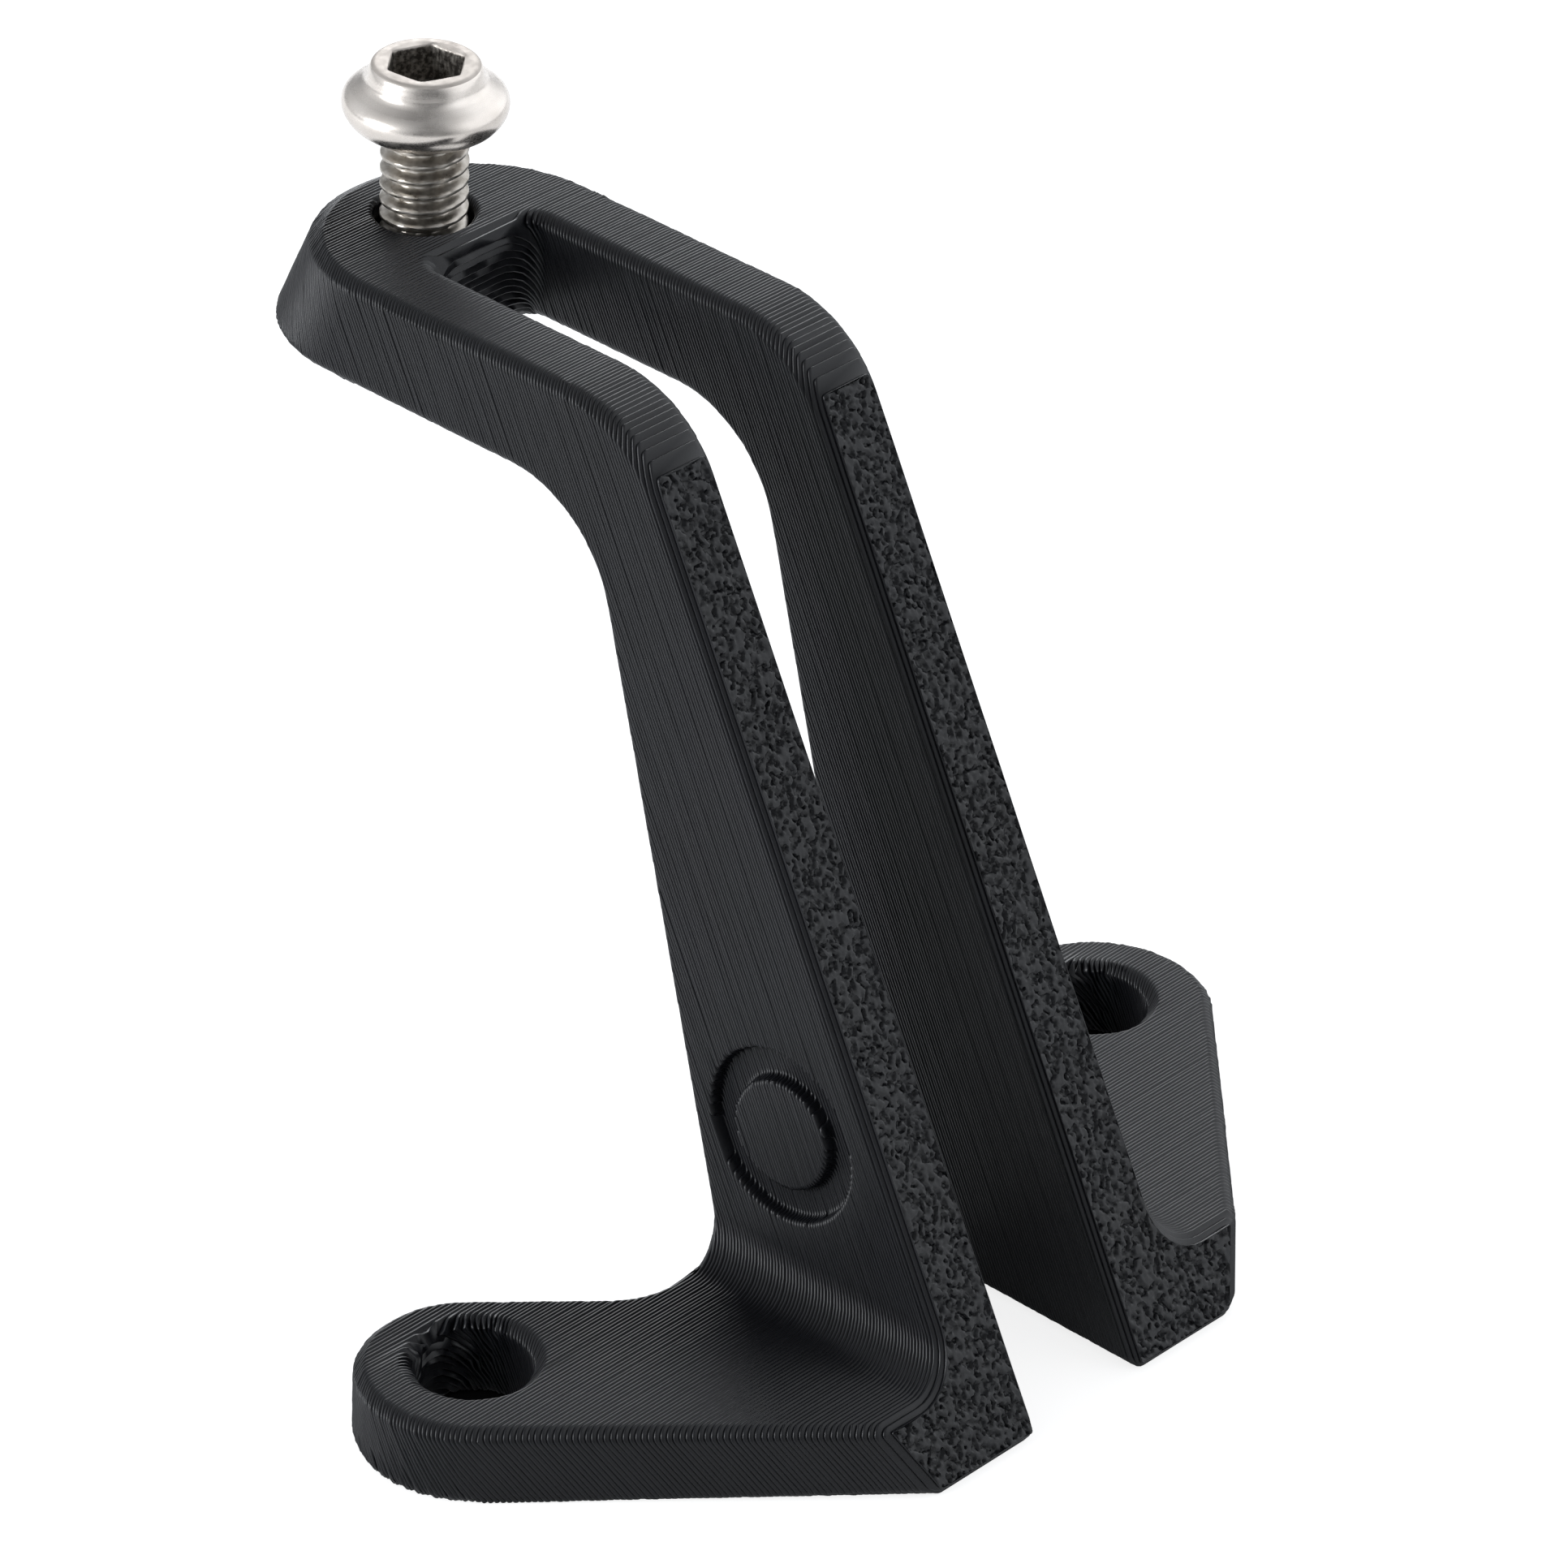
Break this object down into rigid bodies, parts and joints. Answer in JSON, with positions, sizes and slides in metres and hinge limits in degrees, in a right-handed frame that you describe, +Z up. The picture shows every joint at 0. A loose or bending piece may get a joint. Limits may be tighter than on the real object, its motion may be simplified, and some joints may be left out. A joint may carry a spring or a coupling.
{
  "type": "headphone hook bracket",
  "caption": "Printed two-arm bracket on splayed feet with bolt holes, its arms bending over into a round nose that carries an upright flanged socket screw in a pressed brass insert.",
  "frame": {"origin": "middle of the footprint, on the surface that the feet stand on", "axes": "+Z up along the screw, +Y from the heel to the nose, +X to the right arm seen from the heel"},
  "size_m": [0.066, 0.061, 0.0641],
  "materials": {
    "black_print": "layered print, semi-matt, with a pitted heel face",
    "polished_steel": "polished",
    "brass": "turned and knurled"
  },
  "bodies": {
    "hook": {"bracket": "black_print", "nose_insert": "brass"},
    "screw": {"nose_screw": "polished_steel"}
  },
  "joints": [
    {"name": "screw_travel", "type": "slide", "parent": "hook", "child": "screw", "axis": [0, 0, 1], "range_m": [-0.0052, 0.003]}
  ]
}
